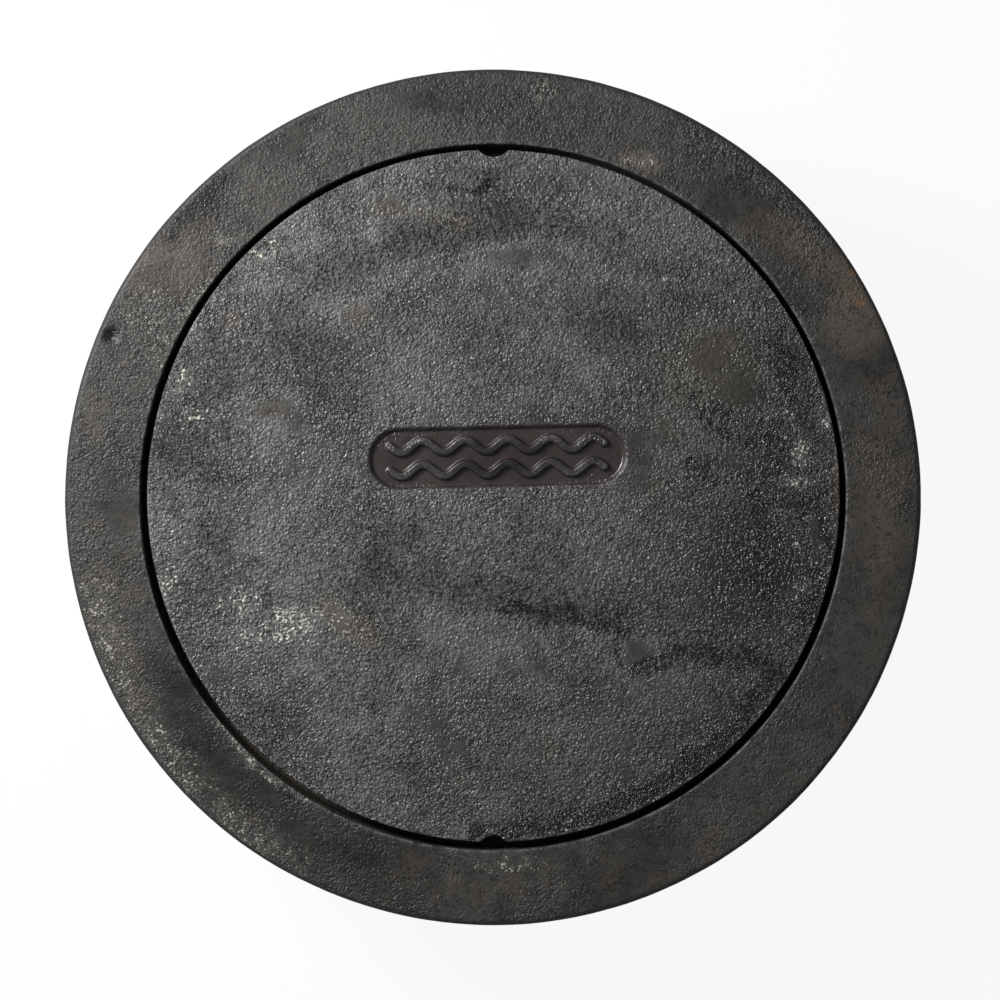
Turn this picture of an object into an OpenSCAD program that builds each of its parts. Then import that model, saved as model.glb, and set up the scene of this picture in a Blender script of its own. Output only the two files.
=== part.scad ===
// Round water box: a cast ring frame set flush with the paving, and the drop-in lid that lies on its seat.
// The origin is the middle of the spigot's foot. +Z runs up through the lid, and +Y towards the name panel.

/* [Lid] */
// Diameter of the lid across its top edge
lid_d = 292.1; // [285:0.1:305]
// Thickness of the plate between the lid's ribs
plate_t = 9.5; // [8:0.5:12]
// Width of the bearing rim that lies on the seat
rim_w = 19; // [17:0.5:23]
// Rounding along the lid's top edge
lid_edge_round = 0.8; // [0.6:0.1:1.8]
// Sideways place of the lid in its pocket
lid_x = 0.2; // [-0.8:0.1:0.8]
// Place of the lid in its pocket towards +Y
lid_y = 0.6; // [-0.8:0.1:0.8]

/* [Lid ribs] */
// Number of ribs that run from the hub to the rim
rib_count = 8; // [6:1:10]
// Thickness of a rib along its lower edge
rib_t = 7; // [6:0.5:9]
// How far the ribs reach below the seat where they leave the hub
rib_drop = 9; // [6:0.5:11]
// Diameter of the hub under the middle of the lid
hub_d = 54; // [46:1:64]
// How far the hub reaches below the seat
hub_drop = 14; // [13:0.5:18]

/* [Pick notches] */
// Width of a pick notch along the lid's edge
pick_w = 12.2; // [11:0.1:15]
// Depth of a pick notch into the lid
pick_in = 3; // [2.6:0.1:4]
// Width of the hollow behind a notch that the pick hooks under
hook_w = 22; // [18:0.5:28]
// Height of that hollow above the seat
hook_h = 6.4; // [5:0.1:8]
// How far that hollow reaches in from the lid's edge
hook_in = 10; // [8:0.5:12]

/* [Name panel] */
// Length of the sunk panel, which has round ends
panel_l = 108; // [104:0.5:116]
// Width of the sunk panel
panel_w = 25.4; // [24:0.1:30]
// Depth of the panel below the lid's top
panel_sink = 2; // [1.6:0.1:3]
// Sideways place of the panel's middle on the lid
panel_x = 1.8; // [-4:0.1:4]
// Place of the panel's middle on the lid towards +Y
panel_y = 16.4; // [8:0.1:24]
// Turn of the panel on the lid, anticlockwise
panel_turn = 1.3; // [-3:0.1:3]
// Slope of the panel's side wall from upright
panel_slope = 20; // [10:1:30]
// Rounding of the panel's lip and of the corner at its floor
panel_round = 0.9; // [0.5:0.1:1]

/* [Wave relief] */
// Number of raised wave lines in the panel
wave_rows = 2; // [1:1:2]
// Number of whole waves along a line
wave_count = 5; // [3:1:5]
// Length of one whole wave
wave_l = 18; // [16:0.1:18.5]
// Height of a wave's middle line from trough to crest
wave_rise = 4.8; // [4:0.1:5.4]
// Distance between the wave lines
row_pitch = 10; // [9.5:0.1:10.5]
// Width of a wave line at the panel's floor
stroke_w = 4.6; // [3.6:0.1:5]
// How much narrower a wave line is on each side at its top
stroke_taper = 0.5; // [0.2:0.1:0.8]
// Bevel along the top of a wave line
stroke_bevel = 0.6; // [0.3:0.1:0.8]

/* [Frame] */
// Height of the frame from the spigot's foot to the paving
frame_h = 101.6; // [95:0.1:152.4]
// Clearance between the lid and the pocket, all round
lid_gap = 3; // [2.4:0.05:4]
// Width of the frame's top face outside the pocket
land_w = 31.95; // [28:0.05:45]
// Thickness of the flange
flange_t = 12.7; // [10:0.1:14]
// Depth of the seat below the top, which is also the height of the lid's rim
pocket_sink = 15.9; // [15.5:0.1:20]
// Width of the seat ledge
seat_w = 15.75; // [14:0.05:17]
// Thickness of the seat ledge
ledge_t = 10; // [8:0.5:14]
// Thickness of the wall outside the pocket
pocket_wall = 9.5; // [8:0.1:12]
// Thickness of the skirt under the ledge
skirt_t = 11; // [9:0.1:13]
// Height of the straight spigot that goes into a riser pipe
spigot_h = 44.5; // [40:0.5:55]
// Step from the skirt in to the spigot, which stops the riser pipe
spigot_step = 1.6; // [1:0.1:2]
// Thickness of the spigot at its foot
foot_t = 8; // [6.5:0.1:9]
// Rounding along the pocket's top edge
pocket_round = 0.8; // [0.6:0.1:1.8]
// Fillet where the pocket's wall meets the seat
seat_fillet = 1.5; // [0.8:0.1:2]

/* [Frame gussets] */
// Number of gussets under the flange
gusset_count = 8; // [4:1:12]
// Thickness of a gusset
gusset_t = 9; // [7:0.5:12]
// Distance from the flange's edge to the gussets
gusset_inset = 7; // [5:0.5:10]

/* [Casting] */
// Draft of the cast walls
draft = 2; // [1:0.5:3]
// Fillet in the large inside corners
fillet = 5; // [3:0.5:6]
// Rounding along the large outside edges
edge_round = 2.4; // [1:0.1:2.8]

/* [Hidden] */
$fn = 128;
// How far a cutting shape runs past what it cuts
over = 2;
// How far a joined shape runs into what it joins
bite = 1;
// How far a corner piece's tip runs past its corner
tip_run = 0.25;
// Fineness of the rounded corners of a profile
corner_fn = 48;
iron = [0.24, 0.235, 0.23];

// Heights above the foot
seat_z = frame_h - pocket_sink;
plate_z = frame_h - plate_t;
flange_z = frame_h - flange_t;
shoulder_z = seat_z - ledge_t;
hub_z = seat_z - hub_drop;

// Radii of the lid
lid_r = lid_d / 2;
lid_low_r = lid_r - pocket_sink * tan(draft);
rim_low_r = lid_low_r - rim_w;
rim_top_r = rim_low_r - (plate_z - seat_z) * tan(draft);
hub_r = hub_d / 2;
hub_low_r = hub_r - (plate_z - hub_z) * tan(draft);

// Radii of the frame
pocket_r = lid_r + lid_gap;
pocket_low_r = pocket_r - pocket_sink * tan(draft);
opening_r = pocket_r - seat_w;
skirt_r = opening_r + skirt_t;
spigot_r = skirt_r - spigot_step;
flange_r = pocket_r + land_w;
flange_low_r = flange_r - flange_t * tan(draft);
barrel_r = pocket_r + pocket_wall;

// Underside line of a lid rib, from the hub out to just above the bearing face
rib_end_lift = 1.5;
rib_run = rim_low_r - hub_r;
rib_rise = rib_drop + rib_end_lift;
rib_pitch = atan2(rib_rise, rib_run);

// Where the ribs are cut off, inside the rim and inside the plate
rib_end_r = rim_low_r + rim_w / 3;
rib_top_z = plate_z + plate_t / 2;

// Circle that cuts a pick notch, from the notch's width and depth
pick_r = pick_w * pick_w / (8 * pick_in) + pick_in / 2;

// Steps of the sweep along one wave, and angles of the steps that draw a line's end in to a half round
wave_steps = 12;
tail_angles = [75, 50, 25];

function toward(a, b) = (b - a) / norm(b - a);

// Turn along a wave line's sine at a distance from its middle, held level past its ends
function wave_turn(x, reach) = 360 * max(-reach, min(reach, x)) / wave_l;

// Point on a wave line's middle
function wave_point(x, reach) = [x, wave_rise / 2 * sin(wave_turn(x, reach)), 0];

// Offset from that point, square to the line and up
function wave_across(x, reach, across, up) =
    let (slope = wave_rise * PI / wave_l * cos(wave_turn(x, reach)), length = norm([1, slope]))
        [-slope * across / length, across / length, up];

// What lies between a corner and its rounding. Cut from a profile it rounds an outside corner, and joined to
// it it fillets an inside corner. The tip runs a little past the corner, off the profile's own edges.
module corner_piece(before, corner, after, radius) {
    to_before = toward(corner, before);
    to_after = toward(corner, after);
    half_angle = acos(to_before * to_after) / 2;
    reach = radius / tan(half_angle);
    inward = toward([0, 0], to_before + to_after);
    centre = corner + inward * radius / sin(half_angle);
    tip = corner - inward * tip_run;
    difference() {
        polygon([tip, corner + to_before * reach, centre, corner + to_after * reach]);
        translate(centre)
            circle(r = radius, $fn = corner_fn);
    }
}

// Corner pieces of a closed outline of [x, y, radius], on its inside corners (side -1) or outside ones (1)
module corner_pieces(corners, side) {
    count = len(corners);
    points = [for (c = corners) [c[0], c[1]]];
    for (i = [0:count - 1]) {
        before = points[(i + count - 1) % count];
        after = points[(i + 1) % count];
        radius = corners[i][2] * side;
        if (radius > 0)
            corner_piece(before, points[i], after, radius);
    }
}

// Polygon with corners [x, y, radius]: above zero rounds an outside corner, below zero fillets an inside
// one
module rounded_profile(corners) {
    difference() {
        union() {
            polygon([for (c = corners) [c[0], c[1]]]);
            corner_pieces(corners, -1);
        }
        corner_pieces(corners, 1);
    }
}

// Outer form of the frame: straight spigot, skirt, shoulder under the ledge, pocket wall and flange
module frame_form() {
    rotate_extrude()
        rounded_profile([
            [0, 0, 0],
            [spigot_r, 0, edge_round],
            [spigot_r, spigot_h, 0],
            [skirt_r, spigot_h, spigot_step / 2],
            [skirt_r, shoulder_z, -fillet],
            [barrel_r, shoulder_z, edge_round],
            [barrel_r, flange_z, -fillet],
            [flange_low_r, flange_z, edge_round],
            [flange_r, frame_h, edge_round],
            [0, frame_h, 0]
        ]);
}

// Hollow of the frame: opening that widens towards the foot, seat for the lid, pocket with a rounded lip
module frame_hollow() {
    foot_r = spigot_r - foot_t;
    lip = 2 * edge_round;
    rotate_extrude()
        rounded_profile([
            [0, -over, 0],
            [foot_r + lip, -over, 0],
            [foot_r + lip, 0, 0],
            [foot_r, 0, -edge_round],
            [opening_r, seat_z, -edge_round],
            [pocket_low_r, seat_z, seat_fillet],
            [pocket_r, frame_h, -pocket_round],
            [pocket_r + lip, frame_h, 0],
            [pocket_r + lip, frame_h + over, 0],
            [0, frame_h + over, 0]
        ]);
}

// Gusset from the skirt's step up to the flange, drawn in past the wall: the hollow is cut afterwards
module gusset() {
    tip_r = flange_r - gusset_inset;
    rotate([90, 0, 0])
        translate([0, 0, -gusset_t / 2])
            linear_extrude(gusset_t)
                polygon([
                    [opening_r, spigot_h],
                    [skirt_r, spigot_h],
                    [tip_r, flange_z - edge_round],
                    [tip_r, flange_z + bite],
                    [opening_r, flange_z + bite]
                ]);
}

module frame() {
    color(iron)
        difference() {
            union() {
                frame_form();
                for (i = [0:gusset_count - 1])
                    rotate((i + 0.5) * 360 / gusset_count)
                        gusset();
            }
            frame_hollow();
        }
}

// Turned form of the lid: hub, plate, bearing rim and drafted edge
module lid_form() {
    rotate_extrude()
        rounded_profile([
            [0, hub_z, 0],
            [hub_low_r, hub_z, edge_round],
            [hub_r, plate_z, -fillet],
            [rim_top_r, plate_z, -fillet],
            [rim_low_r, seat_z, edge_round],
            [lid_low_r, seat_z, lid_edge_round],
            [lid_r, frame_h, lid_edge_round],
            [0, frame_h, 0]
        ]);
}

// One rib with a rounded lower edge, drafted sides and an underside that rises towards the rim
module lid_rib() {
    rib_h = hub_drop + pocket_sink;
    low = rib_t / 2;
    high = low + rib_h * tan(draft);
    start = hub_r / 2;
    translate([hub_r, 0, seat_z - rib_drop])
        rotate([0, -rib_pitch, 0])
            translate([start - hub_r, 0, 0])
                rotate([90, 0, 90])
                    linear_extrude(rim_low_r + rim_w / 2 - start)
                        rounded_profile([
                            [-low, 0, edge_round],
                            [low, 0, edge_round],
                            [high, rib_h, 0],
                            [-high, rib_h, 0]
                        ]);
}

// All ribs, cut off inside the plate and inside the rim
module lid_ribs() {
    intersection() {
        union() {
            for (i = [0:rib_count - 1])
                rotate(i * 360 / rib_count)
                    lid_rib();
        }
        translate([0, 0, hub_z + bite])
            cylinder(r = rib_end_r, h = rib_top_z - hub_z - bite);
    }
}

// Scalloped notch in the lid's edge on the +Y side, with the hollow that a lifting pick hooks under
module pick_notch() {
    translate([0, lid_r - pick_in + pick_r, seat_z - over])
        cylinder(r = pick_r, h = pocket_sink + 2 * over);
    translate([-hook_w / 2, lid_r - hook_in, seat_z - over])
        cube([hook_w, hook_in + over, hook_h + over]);
}

// Half of the panel's cross-section: floor, sloping side and rounded lip
module panel_section() {
    half_w = panel_w / 2;
    floor_w = half_w - panel_sink * tan(panel_slope);
    lip = 2 * panel_round;
    rounded_profile([
        [0, -panel_sink, 0],
        [floor_w, -panel_sink, panel_round],
        [half_w, 0, -panel_round],
        [half_w + lip, 0, 0],
        [half_w + lip, over, 0],
        [0, over, 0]
    ]);
}

// Hollow of the panel: a straight run of the section with a half turn of it at each end
module panel_hollow() {
    run = panel_l - panel_w;
    translate([-run / 2, 0, 0])
        rotate([90, 0, 90])
            linear_extrude(run) {
                panel_section();
                mirror([1, 0])
                    panel_section();
            }
    for (side = [-1, 1])
        translate([side * run / 2, 0, 0])
            rotate(side * -90)
                rotate_extrude(angle = 180)
                    panel_section();
}

// One raised wave line: its cross-section carried along a sine, its ends drawn in to half rounds
module wave_line() {
    half_w = stroke_w / 2;
    top_w = half_w - stroke_taper;
    section = [
        [-half_w, -panel_sink - bite],
        [-top_w, -stroke_bevel],
        [stroke_bevel - top_w, 0],
        [top_w - stroke_bevel, 0],
        [top_w, -stroke_bevel],
        [half_w, -panel_sink - bite]
    ];
    around = len(section);
    reach = wave_count * wave_l / 2;
    steps = wave_count * wave_steps;
    body = [for (i = [0:steps]) [(2 * i / steps - 1) * reach, 1]];
    tail = [for (a = tail_angles) [reach + half_w * sin(a), cos(a)]];
    stations = concat(
        [for (t = tail) [-t[0], t[1]]],
        body,
        [for (i = [len(tail) - 1:-1:0]) tail[i]]
    );
    last = len(stations) - 1;
    points = [
        for (s = stations, c = section)
            wave_point(s[0], reach) + wave_across(s[0], reach, c[0] * s[1], c[1])
    ];
    sides = [
        for (i = [0:last - 1], j = [0:around - 1])
            let (k = (j + 1) % around, here = i * around, next = here + around)
                each [[here + j, next + k, next + j], [here + j, here + k, next + k]]
    ];
    first_end = [for (j = [around - 1:-1:0]) j];
    last_end = [for (j = [0:around - 1]) last * around + j];
    polyhedron(points, concat(sides, [first_end, last_end]));
}

// Raised wave lines, their tops level with the lid
module wave_relief() {
    for (row = [0:wave_rows - 1])
        translate([0, (row - (wave_rows - 1) / 2) * row_pitch, 0])
            wave_line();
}

module panel_place() {
    translate([panel_x, panel_y, frame_h])
        rotate(panel_turn)
            children();
}

module lid() {
    color(iron)
        translate([lid_x, lid_y, 0]) {
            difference() {
                union() {
                    lid_form();
                    lid_ribs();
                }
                for (turn = [0, 180])
                    rotate(turn)
                        pick_notch();
                panel_place()
                    panel_hollow();
            }
            panel_place()
                wave_relief();
        }
}

frame();
lid();
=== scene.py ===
import math
import bmesh
import bpy
import numpy as np
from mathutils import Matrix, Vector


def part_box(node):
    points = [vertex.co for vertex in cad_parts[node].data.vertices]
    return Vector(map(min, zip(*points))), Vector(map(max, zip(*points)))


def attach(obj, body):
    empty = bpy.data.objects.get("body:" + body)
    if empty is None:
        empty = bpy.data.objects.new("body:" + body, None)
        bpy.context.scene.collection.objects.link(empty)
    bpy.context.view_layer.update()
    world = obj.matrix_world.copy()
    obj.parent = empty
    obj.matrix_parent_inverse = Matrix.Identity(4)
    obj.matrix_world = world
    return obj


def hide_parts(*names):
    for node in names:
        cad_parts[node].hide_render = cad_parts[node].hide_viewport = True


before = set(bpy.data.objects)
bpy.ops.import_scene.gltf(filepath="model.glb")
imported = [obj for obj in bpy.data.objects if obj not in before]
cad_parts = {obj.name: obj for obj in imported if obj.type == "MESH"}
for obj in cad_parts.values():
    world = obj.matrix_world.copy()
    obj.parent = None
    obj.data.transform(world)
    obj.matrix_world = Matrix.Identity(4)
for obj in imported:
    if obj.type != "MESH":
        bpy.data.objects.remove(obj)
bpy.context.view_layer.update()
mm = 0.001  # shapes are worked out in millimetres, and the meshes are in metres
samePoint = 0.002  # points nearer than this are joined
print("castings loaded:", sorted(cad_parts))

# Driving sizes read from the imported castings
frameLow, frameHigh = (np.array(corner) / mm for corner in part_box("frame"))
lidLow, lidHigh = (np.array(corner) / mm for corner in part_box("lid"))
topZ = frameHigh[2]
flangeRadius = (frameHigh[0] - frameLow[0]) / 2
lidRadius = (lidHigh[0] - lidLow[0]) / 2
lidCentre = (lidHigh + lidLow)[:2] / 2

castShape = {
    "draftAngle": 2,      # of the cast walls, degrees
    "filletRadius": 5,    # in the large inside corners
    "edgeRadius": 2.4,    # along the large outside edges
    "pocketSink": 15.9,   # depth of the seat, and height of the lid's bearing rim
    "pocketGap": 3,       # between the lid and the pocket
    "lipRadius": 0.8,     # along both lips of the gap
}
pocketRadius = lidRadius + castShape["pocketGap"]
draftSlope = math.tan(math.radians(castShape["draftAngle"]))
seatZ = topZ - castShape["pocketSink"]


# Noise from -1 to 1: random heights on a cubic lattice that is turned off the axes, blended between the
# eight corners of a cell with an s-curve
def latticeNoise(points, cell, seed):
    size = 64
    random = np.random.default_rng(seed)
    table = random.uniform(-1, 1, (size, size, size))
    turned = points @ np.linalg.qr(random.normal(size=(3, 3)))[0]
    place = turned / cell
    base = np.floor(place).astype(int)
    part = place - base
    part = part * part * (3 - 2 * part)
    total = np.zeros(len(points))
    for corner in np.ndindex(2, 2, 2):
        weight = np.where(np.array(corner) == 1, part, 1 - part).prod(axis=1)
        index = (base + corner) % size
        total += weight * table[index[:, 0], index[:, 1], index[:, 2]]
    return total


# S-curve that is 0 up to one edge, 1 from the other edge on, and 3t^2 - 2t^3 between them
def softStep(value, fromEdge, toEdge):
    part = np.clip((value - fromEdge) / (toEdge - fromEdge), 0, 1)
    return part * part * (3 - 2 * part)


# Points of a quarter round in a profile: centre plus radius times cosine and sine, between two angles
def arcPoints(centreR, centreZ, radius, fromAngle, toAngle, count):
    angle = np.radians(np.linspace(fromAngle, toAngle, count))
    return np.stack([centreR + radius * np.cos(angle), centreZ + radius * np.sin(angle)], axis=1)


# Points on a straight stretch of a profile, without its first and last point
def linePoints(start, end, count):
    share = np.linspace(0, 1, count + 2)[1:-1, None]
    return np.array(start) + (np.array(end) - np.array(start)) * share


# A ring of points around the upright axis, from the radius, angle and height of every column
def ringAt(radius, angle, height, centre=(0, 0)):
    radius, height = np.broadcast_arrays(radius, height, angle * 0)[:2]
    x, y = centre[0] + radius * np.cos(angle), centre[1] + radius * np.sin(angle)
    return np.stack([x, y, height + angle * 0], axis=1)


# Faces between one ring and the next: quads, or three triangles for each pair of points where one ring has
# twice as many as the other, or a fan where the next is a single point
def facesBetween(hereStart, hereCount, thereStart, thereCount):
    step = np.arange(min(hereCount, thereCount)) if thereCount > 1 else np.arange(hereCount)

    def pointsOf(start, count):
        return lambda offset, factor=1: start + (factor * step + offset) % count

    here, there = pointsOf(hereStart, hereCount), pointsOf(thereStart, thereCount)
    if thereCount == 1:
        rows = [(here(0), there(0) * 0 + thereStart, here(1))]
    elif hereCount == thereCount:
        rows = [(here(0), there(0), there(1), here(1))]
    elif hereCount == 2 * thereCount:
        rows = [
            (here(0, 2), there(0), here(1, 2)),
            (here(1, 2), there(0), there(1)),
            (here(1, 2), there(1), here(2, 2)),
        ]
    else:
        rows = [
            (here(0), there(0, 2), there(1, 2)),
            (here(0), there(1, 2), here(1)),
            (here(1), there(1, 2), there(2, 2)),
        ]
    return [face for row in rows for face in np.stack(row, axis=1).tolist()]


# One closed mesh from rings in millimetres, in which points that fall together become one
def meshFromRings(name, rings, closedTube):
    starts = np.cumsum([0] + [len(ring) for ring in rings])
    faces = []
    for i in range(len(rings) if closedTube else len(rings) - 1):
        j = (i + 1) % len(rings)
        faces += facesBetween(starts[i], len(rings[i]), starts[j], len(rings[j]))
    mesh = bpy.data.meshes.new(name)
    mesh.from_pydata((np.vstack(rings) * mm).tolist(), [], faces)
    merged = bmesh.new()
    merged.from_mesh(mesh)
    bmesh.ops.remove_doubles(merged, verts=merged.verts, dist=samePoint * mm)
    merged.to_mesh(mesh)
    merged.free()
    mesh.shade_smooth()
    return mesh


def readVectors(owners, key):
    values = np.empty(len(owners) * 3)
    owners.foreach_get(key, values)
    return values.reshape(-1, 3)


def readPoints(mesh):
    return readVectors(mesh.vertices, "co") / mm


# Moves every point along its normal by a number of millimetres, inwards where it is below zero
def pushPoints(mesh, amount):
    points = readPoints(mesh) + readVectors(mesh.vertex_normals, "vector") * amount[:, None]
    mesh.vertices.foreach_set("co", (points * mm).ravel())
    mesh.update()


# Writes a value for each point, which the material reads by name
def writeMask(mesh, name, values):
    mask = mesh.attributes.new(name, "FLOAT", "POINT")
    mask.data.foreach_set("value", np.clip(values, 0, 1).astype(np.float32))


# Angles of one ring's columns where parallel-sided ribs stand at regular turns. In half a sector the first
# columns keep their distance from the rib's middle line, at asin(distance / radius), and the others share
# the rest evenly. The other half mirrors it.
def ribAngles(radius, across, ribs, firstRib):
    halfSector = math.pi / ribs
    near = np.arcsin(across / radius[:len(across)])
    spread = np.linspace(0, 1, len(radius) - len(across) + 1)[1:]
    side = np.concatenate([near, near[-1] + (halfSector - near[-1]) * spread])
    sector = np.concatenate([side[:-1], 2 * halfSector - side[:0:-1]])
    return (firstRib + np.arange(ribs)[:, None] * 2 * halfSector + sector).ravel()


# Values of half a sector, mirrored to a whole one and repeated for every rib
def aroundRibs(half, ribs):
    return np.tile(np.concatenate([half[:-1], half[:0:-1]]), ribs)


# Frame casting

frameShape = {
    "flangeThickness": 12.7,
    "seatWidth": 15.75,
    "seatFillet": 1.5,
    "ledgeThickness": 10,
    "pocketWall": 9.5,
    "skirtThickness": 11,
    "spigotHeight": 44.5,
    "spigotStep": 1.6,    # from the skirt in to the spigot
    "footThickness": 8,
    "gussets": 8,
    "gussetInset": 7,     # from the flange's edge to a gusset's tip
    "topColumns": 1024,
    # Sideways distance of the columns at a gusset, and how far each takes the gusset's outline
    "gussetAcross": [0, 1.6, 3, 3.8, 4.3, 4.5, 4.7, 5.2, 6.4, 8.6],
    "gussetShare": [1, 1, 0.995, 0.98, 0.955, 0.9, 0.06, 0.025, 0.008, 0],
}


# Rings of the frame: its section's outline carried around the axis. Under the flange the outline is mixed
# with that of a gusset, by a share that is 1 across a gusset and 0 beside it.
def frameRings(s, c):
    edge, fillet, lip = c["edgeRadius"], c["filletRadius"], c["lipRadius"]
    flangeZ = topZ - s["flangeThickness"]
    flangeLowR = flangeRadius - s["flangeThickness"] * draftSlope
    pocketLowR = pocketRadius - c["pocketSink"] * draftSlope
    barrelR = pocketRadius + s["pocketWall"]
    openingR = pocketRadius - s["seatWidth"]
    skirtR = openingR + s["skirtThickness"]
    spigotR = skirtR - s["spigotStep"]
    footR = spigotR - s["footThickness"]
    shoulderZ = seatZ - s["ledgeThickness"]
    skirtTop = shoulderZ - fillet
    skirtLow = s["spigotHeight"] + s["spigotStep"]
    tipR = flangeRadius - s["gussetInset"]

    ribs = s["gussets"]
    firstRib = math.pi / ribs
    topAngle = firstRib + np.arange(s["topColumns"]) * 2 * math.pi / s["topColumns"]
    sideAngle = topAngle[::2]
    across = np.array(s["gussetAcross"])
    half = len(sideAngle) // ribs // 2
    share = np.concatenate([s["gussetShare"], np.zeros(half + 1 - len(across))])

    topPart = np.vstack([
        arcPoints(pocketRadius + lip, topZ - lip, lip, 180, 90, 5),
        linePoints((pocketRadius + lip, topZ), (flangeRadius - edge, topZ), 34),
        arcPoints(flangeRadius - edge, topZ - edge, edge, 90, 0, 6),
    ])
    edgeWall = linePoints((flangeRadius, topZ - edge), (flangeLowR, flangeZ + edge), 4)
    under = [(flangeLowR - edge, flangeZ), (barrelR + fillet, flangeZ)]
    plain = np.vstack([
        arcPoints(flangeLowR - edge, flangeZ + edge, edge, 0, -90, 5),
        linePoints(under[0], under[1], 4),
        arcPoints(barrelR + fillet, flangeZ - fillet, fillet, 90, 180, 5),
        arcPoints(barrelR - edge, shoulderZ + edge, edge, 0, -90, 5),
        arcPoints(skirtR + fillet, skirtTop, fillet, 90, 180, 5),
        linePoints((skirtR, skirtTop), (skirtR, skirtLow), 5),
    ])
    webbed = np.vstack([
        plain[:5],
        linePoints(under[0], (tipR + 1, flangeZ), 4),
        [(tipR + 0.3, flangeZ - 0.3), (tipR, flangeZ - 1)],
        linePoints((tipR, flangeZ - edge), (skirtR, skirtLow), len(plain) - 11),
    ])
    spigot = linePoints((spigotR, s["spigotHeight"]), (spigotR, edge), 6)
    stepMiddle = s["spigotStep"] / 2
    inner = np.vstack([
        arcPoints(spigotR - edge, edge, edge, 0, -90, 5),
        arcPoints(footR + edge, edge, edge, -90, -180, 5),
        linePoints((footR, edge), (openingR, seatZ - edge), 8),
        arcPoints(openingR + edge, seatZ - edge, edge, 180, 90, 5),
        linePoints((openingR + edge, seatZ), (pocketLowR - s["seatFillet"], seatZ), 5),
        arcPoints(pocketLowR - s["seatFillet"], seatZ + s["seatFillet"], s["seatFillet"], -90, 0, 4),
        linePoints((pocketLowR, seatZ + s["seatFillet"]), (pocketRadius, topZ - lip), 4),
    ])

    rings = [ringAt(r, topAngle, z) for r, z in topPart]
    # Columns draw together towards the gussets on the flange's edge and part on the spigot
    level = np.full(half + 1, float(flangeRadius))
    gathered = ribAngles(level, across, ribs, firstRib)
    for (r, z), pull in zip(edgeWall, np.linspace(0.2, 0.8, len(edgeWall))):
        rings.append(ringAt(r, sideAngle + (gathered - sideAngle) * pull, z))
    for flat, web in zip(plain, webbed):
        radius = flat[0] + (web[0] - flat[0]) * share
        height = flat[1] + (web[1] - flat[1]) * share
        angle = ribAngles(radius, across, ribs, firstRib)
        rings.append(ringAt(aroundRibs(radius, ribs), angle, aroundRibs(height, ribs)))
    gathered = ribAngles(level * skirtR / flangeRadius, across, ribs, firstRib)
    for r, z in arcPoints(skirtR - stepMiddle, skirtLow - stepMiddle, stepMiddle, 0, -90, 3):
        rings.append(ringAt(r, gathered, z))
    for (r, z), pull in zip(spigot, np.linspace(0.9, 0.1, len(spigot))):
        rings.append(ringAt(r, sideAngle + (gathered - sideAngle) * pull, z))
    return rings + [ringAt(r, sideAngle, z) for r, z in inner]


# Lid casting

lidShape = {
    "plateThickness": 9.5,
    "rimWidth": 19,       # bearing rim that lies on the seat
    "pickWidth": [12.2, 10.6],  # of the notches at the top and at the bottom
    "pickDepth": [3, 2.7],
    "pickCorner": 0.35,   # how far the notch corners are worn round
    "hookWidth": 22,      # hollow behind a notch that the pick hooks under
    "hookIn": 10.05,
    "hookSide": 0.6,      # half width of the turn from the plain edge to the hollow
    "ribs": 8,
    "ribDrop": 9,         # below the seat at the hub
    "ribEndLift": 1.5,    # above the bearing face at the rim
    "rimFillet": 4,
    "rimCorner": 1.4,
    "hubDiameter": 54,
    "hubDrop": 14,
    "topColumns": 512,
    "topRings": 74,
    "columnPull": 0.6,    # how far columns are drawn to the notches, and over what angle
    "columnReach": 0.14,
    # Sideways distance of the columns at a rib, their share of its outline, and its rounding below
    "ribAcross": [0, 0.9, 1.8, 2.6, 3.2, 3.5, 3.9, 4.6, 6.2],
    "ribShare": [1, 1, 1, 1, 1, 1, 0.3, 0.08, 0.02],
    "ribRound": [0, 0, 0.1, 0.5, 1.25, 2.4, 0, 0, 0],
}

panelShape = {
    "length": 108,
    "width": 25.4,
    "sink": 2,
    "x": 1.8,             # place of its middle from the lid's
    "y": 16.4,
    "turn": 1.3,          # degrees
    "wallIn": 1.5,        # foot and lip of the side wall, from the panel's outline
    "wallOut": 1.0,
    "floorRings": 29,
    "wallRings": 11,
    "waveRows": 2,
    "waveCount": 5,
    "waveSteps": 80,      # of each wave's sine
    "waveLength": 18,
    "waveRise": 4.8,
    "rowPitch": 10,
    "strokeFoot": 2.5,    # half width of a raised line at the floor and on its top
    "strokeTop": 1.0,
    "strokeCrown": 0.18,  # how far its worn top falls off to the sides
}


# Columns of a stadium: points on its middle line and the turns at which they leave it, interpolated from
# their share of the way round, from the right end over the top
def stadiumColumns(count, halfRun, radius):
    quarter = radius * math.pi / 2
    stops = np.cumsum([0, quarter, 2 * halfRun, 2 * quarter, 2 * halfRun, quarter])
    way = np.arange(count) / count * stops[-1]
    turn = np.radians(np.interp(way, stops, [0, 90, 90, 270, 270, 360]))
    middle = halfRun * np.interp(way, stops, [1, 1, -1, -1, 1, 1])
    return middle, turn


# Distance from points in the panel to its nearest raised line: a sine taken in close steps, and the least
# distance to any of them
def waveDistance(along, across, p):
    reach = p["waveCount"] * p["waveLength"] / 2
    steps = np.linspace(-reach, reach, p["waveSteps"] * p["waveCount"] + 1)
    line = p["waveRise"] / 2 * np.sin(2 * math.pi * steps / p["waveLength"])
    least = np.full(len(along), np.inf)
    for row in range(p["waveRows"]):
        lift = (row - (p["waveRows"] - 1) / 2) * p["rowPitch"]
        gap = np.hypot(along[:, None] - steps, across[:, None] - lift - line).min(axis=1)
        least = np.minimum(least, gap)
    return least


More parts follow.
